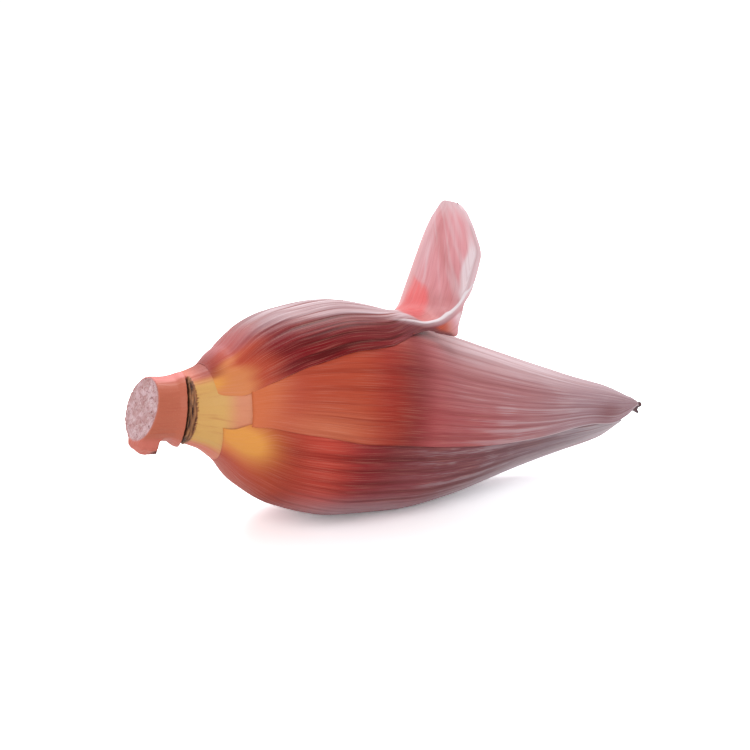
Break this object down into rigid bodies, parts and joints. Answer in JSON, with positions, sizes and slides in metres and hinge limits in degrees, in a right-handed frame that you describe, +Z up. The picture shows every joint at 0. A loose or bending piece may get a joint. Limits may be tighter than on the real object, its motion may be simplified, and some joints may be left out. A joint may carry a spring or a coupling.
{
  "type": "banana blossom",
  "caption": "Cut banana blossom lying on its side: a pointed bud on a short stem, wrapped in overlapping bracts, with one bract's free end folded up.",
  "frame": {"origin": "middle of the blossom's bounding box, on the surface that it lies on", "axes": "+Z up, +X from the cut stem towards the pointed tip, -Y towards the front"},
  "size_m": [0.2748, 0.0982, 0.1393],
  "materials": {
    "stem_flesh": "satin",
    "bud_skin": "satin",
    "bract_skin": "satin",
    "lifted_bract_skin": "satin",
    "floret_flesh": "satin"
  },
  "bodies": {
    "root": {"stem": "stem_flesh", "bud": "bud_skin", "back_bract": "bract_skin", "under_bract": "bract_skin", "front_bract": "bract_skin", "lifted_bract": "lifted_bract_skin", "floret_01": "floret_flesh", "floret_02": "floret_flesh", "floret_03": "floret_flesh", "floret_04": "floret_flesh", "floret_05": "floret_flesh", "floret_06": "floret_flesh", "floret_07": "floret_flesh"}
  },
  "joints": []
}
